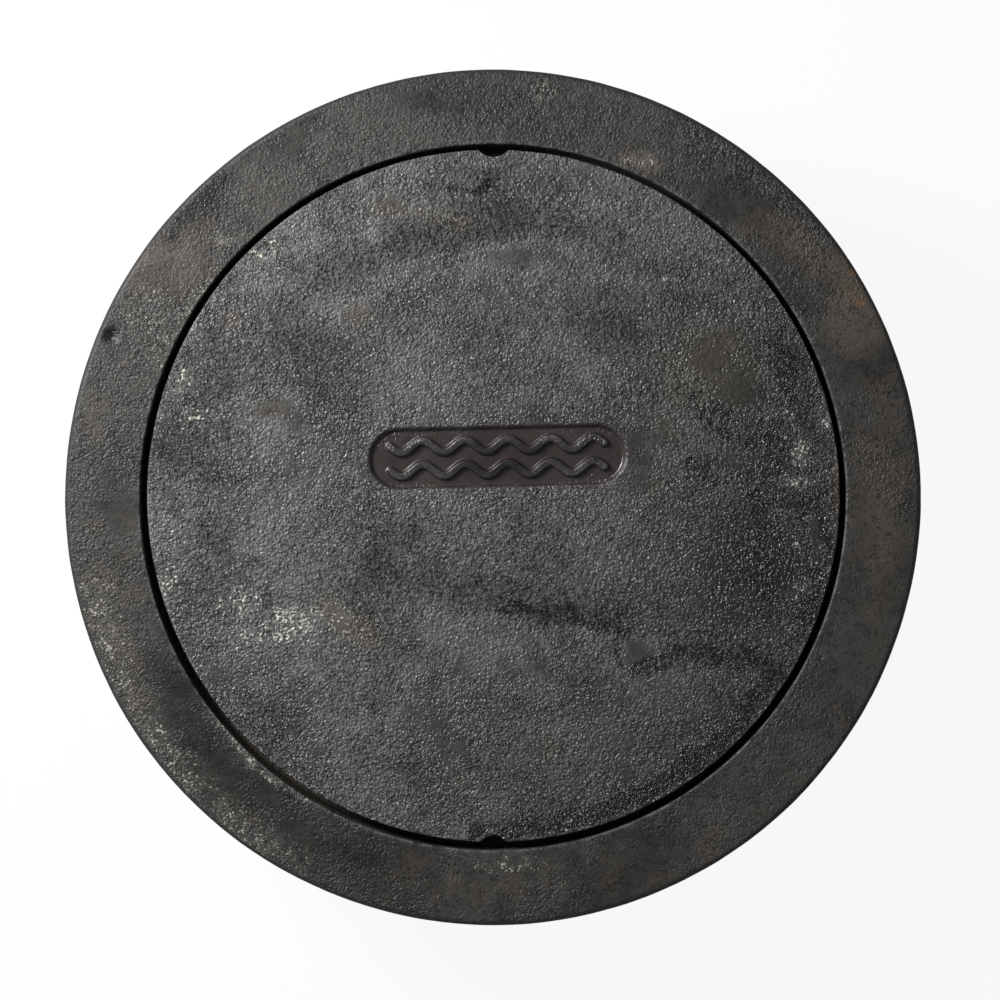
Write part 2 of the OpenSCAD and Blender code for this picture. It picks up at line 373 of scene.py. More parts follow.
# Rings of the panel: offsets of a stadium's middle line. The floor rises to the lid's top by an s-curve
# across the side wall, and to the raised lines by an s-curve of the distance from their sines.
def panelRings(p, columns):
    halfWidth = p["width"] / 2
    foot, lip = halfWidth - p["wallIn"], halfWidth + p["wallOut"]
    middle, turn = stadiumColumns(columns, (p["length"] - p["width"]) / 2, halfWidth)
    wall = np.linspace(foot, lip, p["wallRings"])[1:]
    offsets = np.concatenate([np.linspace(0, foot, p["floorRings"]), wall])
    tilt = math.radians(p["turn"])
    rings = []
    for offset in offsets:
        along = middle + offset * np.cos(turn)
        across = offset * np.sin(turn)
        gap = waveDistance(along, across, p)
        crown = p["strokeCrown"] * np.clip(gap / p["strokeFoot"], 0, 1) ** 2
        line = softStep(gap, p["strokeFoot"], p["strokeTop"]) - crown
        rise = np.maximum(softStep(offset, foot, lip), line)
        x = p["x"] + along * math.cos(tilt) - across * math.sin(tilt)
        y = p["y"] + along * math.sin(tilt) + across * math.cos(tilt)
        rings.append(np.stack([x + lidCentre[0], y + lidCentre[1], topZ - p["sink"] * (1 - rise)], axis=1))
    return rings


# Angle from a notch, from -pi to pi
def awayFrom(angle, notch):
    return (angle - notch + math.pi) % (2 * math.pi) - math.pi


# Column angles of the lid's edge. Each column moves towards a notch by pull * x * exp(-(x / reach)^2 / 2),
# where x is its angle from the notch.
def edgeAngles(s):
    angle = np.arange(s["topColumns"]) * 2 * math.pi / s["topColumns"]
    moved = angle.copy()
    for notch in (math.pi / 2, -math.pi / 2):
        away = awayFrom(angle, notch)
        moved -= s["columnPull"] * away * np.exp(-(away / s["columnReach"]) ** 2 / 2)
    return moved


# Radius of the lid's edge: the lid's own, or where a ray meets the circle that cuts a notch, whichever is
# less, with the corner between them rounded by a soft minimum
def edgeRadiusAt(angle, s):
    radius = np.full(len(angle), float(lidRadius))
    for notch, width, depth in zip((math.pi / 2, -math.pi / 2), s["pickWidth"], s["pickDepth"]):
        cutR = width ** 2 / (8 * depth) + depth / 2
        reach = lidRadius - depth + cutR
        away = awayFrom(angle, notch)
        inside = cutR ** 2 - (reach * np.sin(away)) ** 2
        hit = reach * np.cos(away) - np.sqrt(np.maximum(inside, 0))
        hit = np.where((inside > 0) & (np.abs(away) < 1), hit, 2 * lidRadius)
        soft = s["pickCorner"]
        nearness = np.exp(-(radius - lidRadius) / soft) + np.exp(-(hit - lidRadius) / soft)
        radius = -soft * np.log(nearness) + lidRadius
    return radius


# Rings of the lid from the panel out over the top, down the edge, in over the bearing face, and along the
# ribbed underside to the hub's middle. Underneath, the plain outline is mixed with the ribs' lower line as
# the frame's is with its gussets.
def lidRings(s, p, c):
    edge, slope = c["lipRadius"], draftSlope
    plateZ = topZ - s["plateThickness"]
    hubR = s["hubDiameter"] / 2
    hubZ = seatZ - s["hubDrop"]
    hubLowR = hubR - (plateZ - hubZ) * slope
    lowR = lidRadius - c["pocketSink"] * slope
    rimLowR = lowR - s["rimWidth"]
    rimTopR = rimLowR - (plateZ - seatZ) * slope

    rings = panelRings(p, 2 * s["topColumns"])
    angle = edgeAngles(s)
    outline = edgeRadiusAt(angle, s)
    fromPanel = rings[-1][::2]
    toEdge = ringAt(outline - edge, angle, topZ, lidCentre)
    for share in np.linspace(0, 1, s["topRings"] + 1)[1:]:
        rings.append(fromPanel + (toEdge - fromPanel) * share)

    # Outline of the edge as distance in from it and height: plain, and where a hook hollow cuts the rim
    below = lowR - lidRadius
    corner = arcPoints(-edge, topZ - edge, edge, 90, 0, 5)[1:]
    plain = np.vstack([
        linePoints((0, topZ - edge), (below, seatZ + edge), 4),
        arcPoints(below - edge, seatZ + edge, edge, 0, -90, 4),
        linePoints((below - edge, seatZ), (-s["hookIn"] - 0.1, seatZ), 4),
    ])
    hooked = np.vstack([
        linePoints((0, topZ - edge), (below, plateZ + 0.1), 4),
        linePoints((below, plateZ), (-s["hookIn"], plateZ), 4),
        linePoints((-s["hookIn"], plateZ - 0.1), (-s["hookIn"], seatZ), 4),
    ])
    sideways = np.abs(lidRadius * np.cos(angle))
    hookShare = softStep(sideways, s["hookWidth"] / 2 + s["hookSide"], s["hookWidth"] / 2 - s["hookSide"])
    for inset, height in corner:
        rings.append(ringAt(outline + inset, angle, height, lidCentre))
    for flat, hook in zip(plain, hooked):
        inset = flat[0] + (hook[0] - flat[0]) * hookShare
        # At a notch the outline's dent fades out towards the bearing face's inner side
        dent = (outline - lidRadius) * (1 - softStep(-inset, 2, s["hookIn"] - 1))
        height = flat[1] + (hook[1] - flat[1]) * hookShare
        rings.append(ringAt(lidRadius + dent + inset, angle, height, lidCentre))

    # Underside, from the bearing face's inner edge to the middle
    lineDrop = (s["ribDrop"] + s["ribEndLift"]) / (rimLowR - hubR)
    fillet, rimCorner, hubEdge = c["filletRadius"], s["rimCorner"], c["edgeRadius"]
    under = np.vstack([
        arcPoints(rimLowR + rimCorner, seatZ + rimCorner, rimCorner, -90, -180, 4),
        arcPoints(rimTopR - s["rimFillet"], plateZ - s["rimFillet"], s["rimFillet"], 0, 90, 5),
        linePoints((rimTopR - s["rimFillet"], plateZ), (hubR + fillet, plateZ), 10),
        arcPoints(hubR + fillet, plateZ - fillet, fillet, 90, 180, 5),
        linePoints((hubR, plateZ - fillet), (hubLowR, hubZ + hubEdge), 3),
        arcPoints(hubLowR - hubEdge, hubZ + hubEdge, hubEdge, 0, -90, 5),
        linePoints((hubLowR - hubEdge, hubZ), (0, hubZ), 4),
    ])
    ribs = s["ribs"]
    across = np.array(s["ribAcross"])
    half = s["topColumns"] // 2 // ribs // 2
    rest = np.zeros(half + 1 - len(across))
    share = np.concatenate([s["ribShare"], rest])
    rounding = np.concatenate([s["ribRound"], rest])
    hubLevel = np.full(half + 1, float(hubR))
    loose = angle[::2]
    seatFace = linePoints((lidRadius - s["hookIn"] - 1, 0), (rimLowR + rimCorner, 0), 3)[:, 0]
    for r, pull in zip(seatFace, (0.3, 0.6, 0.9)):
        gathered = ribAngles(hubLevel * r / hubR, across, ribs, 0)
        rings.append(ringAt(r, loose + awayFrom(gathered, loose) * pull, seatZ, lidCentre))
    for r, z in under:
        ribZ = min(z, seatZ + s["ribEndLift"] - lineDrop * (rimLowR - r))
        lift = np.minimum(rounding, max(z - ribZ, 0) / 2)
        height = z + (ribZ + lift - z) * share
        gathered = ribAngles(hubLevel * max(r, hubR) / hubR, across, ribs, 0)
        rings.append(ringAt(r, gathered, aroundRibs(height, ribs), lidCentre))
    rings.append(np.array([[lidCentre[0], lidCentre[1], hubZ]]))
    return rings


frameMesh = meshFromRings("ringFrame", frameRings(frameShape, castShape), True)
lidMesh = meshFromRings("lidPlate", lidRings(lidShape, panelShape, castShape), False)
for mesh in (frameMesh, lidMesh):
    mesh.calc_loop_triangles()
    print(mesh.name, "shape:", len(mesh.vertices), "points,", len(mesh.loop_triangles), "triangles")


# Cast unevenness, in millimetres

wearDepths = {
    "broad": [0.26, 38, 11],    # depth, size and seed of each noise
    "middle": [0.14, 9, 12],
    "small": [0.07, 3.4, 13],
}
outerBand = 10                  # the outermost part of the flange, which is only worn inwards


# Depth of the unevenness: each noise is shifted to lie from 0 to 1 and counts with its own depth. Level
# faces and the flange's edge only lose by it, and upright walls inside of that keep their middle place.
def castUneven(points, normals, depths, offset):
    inner = np.hypot(points[:, 0], points[:, 1]) < flangeRadius - outerBand
    upright = np.where(inner, 1 - normals[:, 2] ** 2, 0)
    total = np.zeros(len(points))
    for depth, size, seed in depths.values():
        total += depth * (0.5 + 0.5 * latticeNoise(points, size, seed + offset) - 0.5 * upright)
    return total


# Pits in the top faces as (x, y, radius, depth) in millimetres, measured from the middle of the box
framePits = [(-161, 68, 4.5, 1.2)]
lidPits = [
    (-17, 131, 3, 0.7), (-10, 128, 2.6, 0.6), (-1, 132, 2.4, 0.5), (-56, -75, 2.6, 0.7), (-59, -89, 3, 0.4),
]
upFacing = 0.7                  # least upward part of a normal on faces that have pits


# Depth of the pits at each point, depth * (1 - (distance / radius)^2)^2, on faces that look up
def castPits(points, normals, pits):
    total = np.zeros(len(points))
    for x, y, radius, depth in pits:
        apart = np.hypot(points[:, 0] - x, points[:, 1] - y) / radius
        total += depth * np.clip(1 - apart ** 2, 0, 1) ** 2
    return total * (normals[:, 2] > upFacing)


for mesh, offset, pits in ((frameMesh, 100, framePits), (lidMesh, 200, lidPits)):
    points, normals = readPoints(mesh), readVectors(mesh.vertex_normals, "vector")
    pushPoints(mesh, -castUneven(points, normals, wearDepths, offset) - castPits(points, normals, pits))
print("castings weathered")


# Marks on the top faces, laid where they show on the real one; some of the dark ones are painted shade. A
# spot is (x, y, half length, half width, strength), and its turn if it has one. A stroke is (points, half
# width, strength).
# Measures are in millimetres from the middle of the box and in degrees.

lidSpots = {
    "coarse": [
        (-3, 133, 9, 4.5, 1), (-26, 132, 5, 3.5, 0.7), (42, 71, 13, 8, 0.45), (64, 64, 9, 6, 0.4),
        (-88, -53, 11, 10, 1), (-107, -44, 8, 6, 0.7), (-96, 104, 5, 4, 1, 40), (-128, 35, 6, 6, 0.8),
        (-131, 50, 5, 7, 0.5), (-136, -35, 4, 9, 0.6), (-54, -111, 4, 9, 0.6, 30), (-59, -89, 5, 5, 0.6),
        (35, -132, 10, 5, 0.6, 10), (129, 40, 11, 30, 0.8), (110, 0, 22, 26, 0.35), (0, 118, 70, 9, 0.35),
        (0, -25, 75, 26, 0.5, -12), (100, 27, 18, 8, 0.6), (128, -5, 12, 16, 0.5),
    ],
    "smooth": [
        (-69, 9, 27, 30, 0.45), (-22, 53, 34, 21, 0.4), (62, 7, 20, 20, 0.55), (94, 52, 23, 20, 0.4),
        (3, -69, 34, 12, 0.3), (61, -64, 8, 7, 1), (-94, 37, 13, 6, 0.5, 10), (54, -48, 14, 5, 0.4),
        (-62, -52, 12, 6, 0.6, -35), (137, -20, 5, 16, 0.7), (76, 30, 9, 12, 0.5),
        (-56, 77, 7, 5, 0.6, -20), (-109, 75, 6, 5, 0.4), (2, 16, 75, 14, 0.95, 1.3),
    ],
    "brown": [
        (94, 52, 25, 22, 0.85), (76, 27, 7, 10, 0.6, 20), (69, 3, 8, 8, 0.4), (-60, -53, 18, 7, 0.9, -35),
        (-94, 37, 10, 4, 0.5), (-130, 50, 4, 7, 0.5), (96, -38, 12, 16, 0.4), (-14, -31, 8, 6, 0.3),
        (61, -64, 9, 8, 0.35), (-56, 77, 7, 5, 0.7, -20), (-109, 75, 6, 5, 0.45), (105, 0, 60, 90, 0.35),
        (20, -105, 100, 45, 0.3),
    ],
    # Broad dark spots over the right half darken the lid towards the side away from the light, partly
    # darker coat and partly painted shade; the wide soft spot round the sunk panel is painted shade along
    # its edge
    "dark": [
        (90, -67, 18, 8, 0.5), (132, -5, 14, 8, 0.8), (88, 6, 13, 8, 0.6), (89, 33, 9, 7, 0.5),
        (94, 66, 12, 8, 0.3), (129, 41, 13, 28, 1), (112, -27, 46, 50, 1), (118, 20, 36, 50, 0.9),
        (-58, -48, 10, 6, 0.3, -35), (80, -95, 66, 34, 0.6, 40), (70, -40, 42, 20, 0.4, -10),
        (95, 55, 26, 34, 0.4), (61, -64, 10, 9, 0.5), (76, 27, 9, 12, 0.45), (40, -10, 40, 40, 0.2),
        (2, 16, 64, 20, 0.5, 1.3), (2, 16, 56, 13, 1, 1.3),
    ],
    "tar": [
        (-66, -23, 2, 1.5, 0.8), (131, -4, 10, 4, 1), (122, 55, 6, 15, 0.95, 15),
        (88, 12, 12, 7, 0.75, -40), (120, 25, 9, 5, 0.7), (95, 36, 10, 4, 0.85, -30),
    ],
    "pale": [
        (-86, -53, 11, 8, 1.4), (-107, -44, 8, 6, 0.8), (-97, 104, 6, 5, 1), (-127, 34, 6, 6, 0.8),
        (-131, 50, 4, 8, 0.85), (-136, -35, 4, 9, 0.85), (-103, -60, 12, 5, 0.5), (-100, -24, 10, 4, 0.4),
        (130, 19, 6, 7, 0.75), (128, 7, 8, 3, 0.75), (126, -20, 4, 3, 0.35), (71, -69, 5, 3, 0.3),
        (130, -39, 4, 6, 0.45), (141, 35, 2.5, 7, 0.75), (73, 91, 4, 3, 0.7), (-1, -141, 3, 2, 0.6),
        (127, 30, 10, 12, 0.25), (-66, -49, 12, 5, 0.5, -35), (137, -26, 4, 10, 0.35),
    ],
    "rust": [(145, 15, 1.2, 24, 0.3), (132, -62, 3, 12, 0.15, 25)],
}
lidStrokes = {
    "coarse": [
        ([(-48, -30), (-26, -37), (-1, -43), (28, -45), (50, -47)], 9, 1),
        ([(-71, 93), (-39, 107), (-12, 116), (20, 116), (50, 110)], 8, 1),
        ([(83, 53), (88, 37), (90, 19)], 5, 0.5),
        ([(60, -62), (83, -60), (105, -62), (122, -68)], 5, 0.5),
    ],
    "smooth": [
        ([(-41, 95), (-10, 102), (28, 101), (62, 90)], 5, 0.6),
        ([(-48, 123), (-31, 120), (-12, 116)], 4, 0.6),
    ],
    "brown": [([(-48, 123), (-31, 120), (-12, 116)], 5, 0.5)],
    "dark": [
        ([(-41, 96), (-10, 104), (28, 101), (58, 94)], 3, 0.4),
        ([(-124, 41), (-109, 35), (-94, 36)], 2.5, 0.4),
        ([(7, -140), (28, -139), (50, -133), (71, -124), (88, -112), (104, -98), (124, -70)], 6, 0.8),
        ([(60, -74), (70, -71), (83, -65), (105, -68), (124, -74)], 7, 0.6),
    ],
    "tar": [
        ([(84, 40), (92, 30), (104, 24), (118, 22)], 3, 0.7),
        ([(2, -46), (18, -48), (31, -53), (45, -48), (56, -45)], 3, 0.75),
        ([(20, -48), (40, -51), (54, -55)], 5, 0.8),
        ([(60, -73), (70, -70), (79, -65), (98, -67), (110, -69), (121, -74)], 3.8, 1.15),
        ([(52, -60), (52, -67), (56, -72)], 1.5, 0.7),
        ([(111, 1), (114, -18), (117, -40)], 4, 0.95),
        ([(-17, 131), (-10, 128), (0, 131)], 2, 0.7),
        ([(-8, -141), (7, -141), (28, -138), (50, -131), (71, -121), (88, -109), (102, -96),
          (116, -78)], 4, 0.95),
        ([(130, -58), (136, -40), (139, -20), (138, 0)], 3, 0.7),
    ],
}

frameSpots = {
    "coarse": [
        (-145, 77, 13, 14, 0.45), (22, 170, 9, 5, 0.8), (-60, 147, 20, 9, 0.4, 25), (62, 140, 6, 4, 0.4),
        (88, 147, 14, 9, 0.4, -30), (0, 165, 60, 12, 0.25),
    ],
    "smooth": [(-22, 166, 26, 7, 0.4), (-128, 104, 22, 13, 0.5, 50)],
    "brown": [
        (-134, 100, 18, 13, 0.65, 50), (150, 95, 8, 12, 0.9), (153, 77, 13, 20, 0.9),
        (126, 109, 24, 14, 0.45, -40), (62, 142, 7, 3, 1, -20), (-168, 33, 5, 13, 0.4),
        (164, -1, 18, 60, 0.4),
    ],
    "dark": [
        (-161, 68, 6, 7, 1), (-162, 0, 14, 26, 0.5), (-122, 119, 12, 5, 0.7, 40), (-20, 168, 26, 8, 0.25),
        (157, 53, 9, 7, 0.3), (-142, 92, 12, 6, 0.5, 40),
    ],
    "tar": [(-161, 68, 2.5, 3, 0.8)],
    "pale": [
        (-145, 79, 12, 12, 0.26), (22, 171, 5, 5, 0.35), (62, 142, 7, 3, 0.7, -20), (7, -155, 16, 4, 0.4),
    ],
    "rust": [(152, 95, 2.5, 2, 1), (156, 82, 2, 2.5, 0.6), (165, 74, 2, 2, 0.6), (150, 84, 6, 10, 0.25)],
}
frameStrokes = {
    "coarse": [
        ([(-138, 62), (-134, 71), (-122, 87), (-105, 106)], 4, 0.7),
        ([(-149, -94), (-128, -124)], 5, 0.5),
        ([(-118, -93), (-106, -107), (-92, -119), (-77, -129)], 2, 0.5),
        ([(84, 153), (104, 141), (123, 125), (137, 109)], 5, 0.8),
    ],
    "smooth": [([(164, 71), (168, 20), (166, -27), (151, -77), (121, -120), (88, -145)], 16, 0.2)],
    "brown": [
        ([(-151, 96), (-137, 107), (-122, 114)], 5, 0.45),
        ([(-164, -20), (-158, -65), (-136, -103), (-111, -128), (-81, -149)], 18, 0.22),
        ([(-81, -149), (-39, -163), (45, -163), (88, -149), (130, -111), (160, -65)], 18, 0.2),
    ],
    "dark": [
        ([(-136, 110), (-125, 123), (-112, 134)], 5, 0.9),
        ([(-134, -82), (-117, -113), (-86, -141), (-56, -153)], 14, 0.6),
    ],
    "pale": [
        ([(-141, 58), (-132, 75), (-117, 92)], 4, 0.42),
        ([(-117, 109), (-97, 109)], 2, 0.5),
        ([(-168, -40), (-159, -72), (-147, -96), (-132, -116), (-112, -136), (-84, -155)], 8, 0.42),
        ([(-118, -93), (-106, -107), (-92, -119), (-77, -129)], 1.3, 0.75),
    ],
}

markSetup = {
    "ragged": 2.2,     # how far noise shifts the edges of a mark, in millimetres
    "raggedSize": 6,
    "depth": 4,        # marks fade out this far below the top
}


# Least distance in the plane to a line through points
def strokeDistance(x, y, line):
    least = np.full(len(x), np.inf)
    for (x1, y1), (x2, y2) in zip(line[:-1], line[1:]):
        length = (x2 - x1) ** 2 + (y2 - y1) ** 2
        share = np.clip(((x - x1) * (x2 - x1) + (y - y1) * (y2 - y1)) / length, 0, 1)
        least = np.minimum(least, np.hypot(x - x1 - share * (x2 - x1), y - y1 - share * (y2 - y1)))
    return least


# Strength of one kind of mark at each point: the greatest of strength * exp(-d^2) over its spots and
# strokes, where d is the distance in half widths, taken at a place that noise has shifted a little
def markStrength(points, spots, strokes, s, seed):
    x = points[:, 0] + s["ragged"] * latticeNoise(points, s["raggedSize"], seed)
    y = points[:, 1] + s["ragged"] * latticeNoise(points, s["raggedSize"], seed + 1)
    total = np.zeros(len(points))
    for spotX, spotY, halfLength, halfWidth, strength, *turned in spots:
        turn = math.radians(sum(turned))
        c, t = math.cos(turn), math.sin(turn)
        along = ((x - spotX) * c + (y - spotY) * t) / halfLength
        across = ((y - spotY) * c - (x - spotX) * t) / halfWidth
        total = np.maximum(total, strength * np.exp(-along ** 2 - across ** 2))
    for line, halfWidth, strength in strokes:
        total = np.maximum(total, strength * np.exp(-(strokeDistance(x, y, line) / halfWidth) ** 2))
    return total * softStep(points[:, 2], topZ - s["depth"], topZ - s["depth"] / 2)


edgeSetup = {
    "lipWidth": 0.9,       # of the painted highlight along the lips of the gap
    "rimSoft": 0.5,        # over which the flange's outer edge turns dull and painted dark as shade
    "dustDepth": 8,        # depth below which the dust in the gap lies, with its painted light
    "dustAcross": [9, 3],  # from the lid's edge inwards and from the pocket's wall outwards
    "dustBelow": 1,        # under the seat
    "floorDepth": [0.3, 1.5],  # depths at which the panel's floor starts and counts in full
    "floorBelow": 4,       # depth that the panel's floor never reaches
}


# Painted highlight along both lips of the gap, from how near a point lies to them in plan and in height
def lipHighlight(points, lipRadius, middle, s):
    radius = np.hypot(points[:, 0] - middle[0], points[:, 1] - middle[1])
    across = np.exp(-((radius - lipRadius) / s["lipWidth"]) ** 2)
    return across * softStep(points[:, 2], topZ - 1.5 * s["lipWidth"], topZ - 0.5 * s["lipWidth"])


# Dull outer edge of the flange, painted near black as shade on its rounding, from where its rounding begins
def outerRim(points, s):
    radius = np.hypot(points[:, 0], points[:, 1])
    outer = flangeRadius - s["rimSoft"]
    return softStep(radius, outer - castShape["edgeRadius"], outer)


# Dust on the walls of the gap and on the seat, also painted light there that keeps the gap from going
# black: all that lies deeper than the lips, down to the seat
def gapDustAndLight(points, s):
    radius = np.hypot(points[:, 0], points[:, 1])
    below = softStep(topZ - points[:, 2], s["dustDepth"] / 2, s["dustDepth"])
    inGap = (radius < pocketRadius + s["dustAcross"][1]) & (radius > lidRadius - s["dustAcross"][0])
    return below * inGap * (points[:, 2] > seatZ - s["dustBelow"])


# Floor of the sunk panel, from its depth below the top
def panelFloor(points, s):
    middle = np.hypot(points[:, 0], points[:, 1]) < lidRadius / 2
    sunk = softStep(topZ - points[:, 2], *s["floorDepth"])
    return sunk * middle * (points[:, 2] > topZ - s["floorBelow"])


for mesh, spots, strokes, seed in (
        (lidMesh, lidSpots, lidStrokes, 31), (frameMesh, frameSpots, frameStrokes, 61)):
    points = readPoints(mesh)
    for order, kind in enumerate(spots):
        strength = markStrength(points, spots[kind], strokes.get(kind, []), markSetup, seed + 2 * order)
        writeMask(mesh, kind, strength)
    writeMask(mesh, "dust", gapDustAndLight(points, edgeSetup))
framePoints, lidPoints = readPoints(frameMesh), readPoints(lidMesh)
writeMask(frameMesh, "rim", outerRim(framePoints, edgeSetup))
writeMask(frameMesh, "lip", lipHighlight(framePoints, pocketRadius, (0, 0), edgeSetup))
writeMask(lidMesh, "lip", lipHighlight(lidPoints, lidRadius, lidCentre, edgeSetup))
writeMask(lidMesh, "floor", panelFloor(lidPoints, edgeSetup))
print("marks laid")


# Materials

nodePitch = [200, 240]  # distances between columns and rows in the node editor


# Adds a node to the right of those that feed it, sets its properties, and sets or links its inputs
def addNode(tree, kind, inputs=None, **properties):
    node = tree.nodes.new(kind)
    for key, value in properties.items():
        setattr(node, key, value)
    column = 0
    for key, value in (inputs or {}).items():
        if isinstance(value, bpy.types.NodeSocket):
            tree.links.new(value, node.inputs[key])
            column = max(column, value.node.location.x + nodePitch[0])
        else:
            node.inputs[key].default_value = value
    row = sum(other.location.x == column for other in tree.nodes)
    node.location = (column, -row * nodePitch[1])
    return node


# First times second plus third
def mathNode(tree, first, second, third=0.0, clamp=False):
    values = {0: first, 1: second, 2: third}
    return addNode(tree, "ShaderNodeMath", values, operation="MULTIPLY_ADD", use_clamp=clamp).outputs[0]


def greaterOf(tree, first, second):
    return addNode(tree, "ShaderNodeMath", {0: first, 1: second}, operation="MAXIMUM").outputs[0]


# S-curve of a value between two edges
def easeNode(tree, value, edges):
    inputs = {"Value": value, "From Min": edges[0], "From Max": edges[1]}
    return addNode(tree, "ShaderNodeMapRange", inputs, interpolation_type="SMOOTHSTEP").outputs["Result"]


def noiseNode(tree, vector, scale, detail, roughness=0.5, distortion=0.0):
    inputs = {"Vector": vector, "Scale": scale, "Detail": detail, "Roughness": roughness}
    return addNode(tree, "ShaderNodeTexNoise", inputs | {"Distortion": distortion}).outputs["Fac"]


def mixNode(tree, factor, first, second):
    return addNode(tree, "ShaderNodeMix", {0: factor, 6: first, 7: second}, data_type="RGBA").outputs[2]


# Starts a shader node group, whose inputs and outputs are named under their kind
def startGroup(name, inputs, outputs):
    tree = bpy.data.node_groups.new(name, "ShaderNodeTree")
    for direction, kinds in (("INPUT", inputs), ("OUTPUT", outputs)):
        for kind, socketNames in kinds.items():
            for socketName in socketNames:
                tree.interface.new_socket(socketName, in_out=direction, socket_type="NodeSocket" + kind)
    return tree, addNode(tree, "NodeGroupInput").outputs


def useGroup(tree, group, inputs):
    return addNode(tree, "ShaderNodeGroup", inputs, node_tree=group).outputs


def startMaterial(name):
    material = bpy.data.materials.new(name)
    material.use_nodes = True
    material.node_tree.nodes.clear()
    return material, material.node_tree


grainSetup = {
    "broadScale": 0.42,       # scales of the second noise and the lumps, as shares of the first's
    "lumpScale": 0.6,
    "fineNoise": [1.5, 0.5, 0.6],  # detail, roughness and distortion of each noise
    "broadNoise": [1, 0.5, 0.4],
    "lumpNoise": [2, 0.6, 0.3],
    "fineShare": 0.65,        # of both noises in the grain
    "broadShare": 0.35,
    "patches": [[85, 0.6], [28, 0.9]],  # how many per metre, and their part in the gain
    "patchDetail": 2,
    "patchEdges": [0.34, 0.66],
    "leastGain": 0.25,
    "coarseGain": 1.1,        # of the grain and of the lumps in a full coarse mark
    "lumpGain": 1.5,
    "smoothLoss": 0.95,
    "pitLumps": 0.8,
    "pitEdges": [0.5, 0.34],  # where pits and crests begin and where they are full
    "crestEdges": [0.5, 0.64],
}


# Sand grain of a casting under its coat. Two noises make the grain, around zero, and lumps join it where it
# is coarse. Patches of two sizes, coarse marks and smooth marks change its strength. Pits are where it lies
# low, and crests where it stands up in a coarse mark.
def makeCastGrain(s):
    inputs = {"Vector": ["Place"], "Float": ["Grains per metre", "Coarse", "Smooth"]}
    tree, given = startGroup("castGrain", inputs, {"Float": ["Height", "Pits", "Crests"]})
    place, scale = given["Place"], given["Grains per metre"]
    fine = noiseNode(tree, place, scale, *s["fineNoise"])
    broad = noiseNode(tree, place, mathNode(tree, scale, s["broadScale"]), *s["broadNoise"])
    lumps = noiseNode(tree, place, mathNode(tree, scale, s["lumpScale"]), *s["lumpNoise"])
    grain = mathNode(tree, broad, s["broadShare"], mathNode(tree, fine, s["fineShare"]))
    patches = s["leastGain"]
    for perMetre, part in s["patches"]:
        shown = easeNode(tree, noiseNode(tree, place, perMetre, s["patchDetail"]), s["patchEdges"])
        patches = mathNode(tree, shown, part, patches)
    smoothed = mathNode(tree, given["Smooth"], -s["smoothLoss"], 1.0, clamp=True)
    coarse = mathNode(tree, smoothed, given["Coarse"])
    gain = mathNode(tree, coarse, s["coarseGain"], mathNode(tree, smoothed, patches))
    height = mathNode(tree, mathNode(tree, grain, 1.0, -0.5), gain)
    lumpHeight = mathNode(tree, mathNode(tree, lumps, 1.0, -0.5), coarse)
    addNode(tree, "NodeGroupOutput", {
        "Height": mathNode(tree, lumpHeight, s["lumpGain"], height),
        "Pits": easeNode(tree, mathNode(tree, lumpHeight, s["pitLumps"], grain), s["pitEdges"]),
        "Crests": mathNode(tree, easeNode(tree, grain, s["crestEdges"]), coarse),
    })
    return tree


toneSetup = {
    "broadCloud": [22, 3, 0.55],  # how many per metre, detail and roughness of each noise
    "smallCloud": [130, 3, 0.6],
    "wornPlaces": [70, 4, 0.65],
    "broadShare": 0.6,        # of both clouds together
    "smallShare": 0.4,
    "cloudEdges": [0.38, 0.62],
    "wornShare": 0.8,
    "thinEdges": [0.5, 1.0],
    "pitPaintedShade": 0.62,         # painted shade in full pits, and darkening in full dark marks
    "markShade": 0.85,
}


# Tone of a thin tar coat: a broad and a small cloud between its dark and its pale colour, brown where it is
# thin, darker where dark marks say so, some of them painted shade, and with painted shade in pits
def makeCoatTone(s):
    tree, given = startGroup("coatTone", {
        "Vector": ["Place"], "Color": ["Dark coat", "Pale coat", "Thin coat"],
        "Float": ["Thin", "Shade", "Pits"],
    }, {"Color": ["Color"], "Float": ["Cloud"]})
    kinds = ("broadCloud", "smallCloud", "wornPlaces")
    broad, small, patchy = (noiseNode(tree, given["Place"], *s[kind]) for kind in kinds)
    both = mathNode(tree, small, s["smallShare"], mathNode(tree, broad, s["broadShare"]))
    cloud = easeNode(tree, both, s["cloudEdges"])
    coat = mixNode(tree, cloud, given["Dark coat"], given["Pale coat"])
    thin = easeNode(tree, mathNode(tree, patchy, s["wornShare"], given["Thin"]), s["thinEdges"])
    tinted = mixNode(tree, thin, coat, given["Thin coat"])
    # painted shade in the grain's pits, partly coat lying in them
    paintedPitShade = mathNode(tree, given["Pits"], -s["pitPaintedShade"], 1.0)
    # dark marks: darker coat, and painted shade on the lid's right side and round the panel
    shaded = mathNode(tree, given["Shade"], -s["markShade"], 1.0)
    depth = mathNode(tree, paintedPitShade, shaded, clamp=True)
    scaled = addNode(tree, "ShaderNodeVectorMath", {0: tinted, "Scale": depth}, operation="SCALE")
    addNode(tree, "NodeGroupOutput", {"Color": scaled.outputs[0], "Cloud": cloud})
    return tree


fleckSetup = {
    "clumpScale": 0.25,     # scale of the clumps as a share of the flecks'
    "fineNoise": [1, 0.5],  # detail and roughness
    "clumpNoise": [3, 0.6],
    "clumpShare": 0.6,
    "amountShare": 0.22,    # how much the full amount adds to the flecks and to the haze
    "hazeAmount": 0.6,
    "fleckEdges": [1.04, 1.16],
    "hazeEdges": [0.5, 1.2],
    "presentEdges": [0.02, 0.2],
}


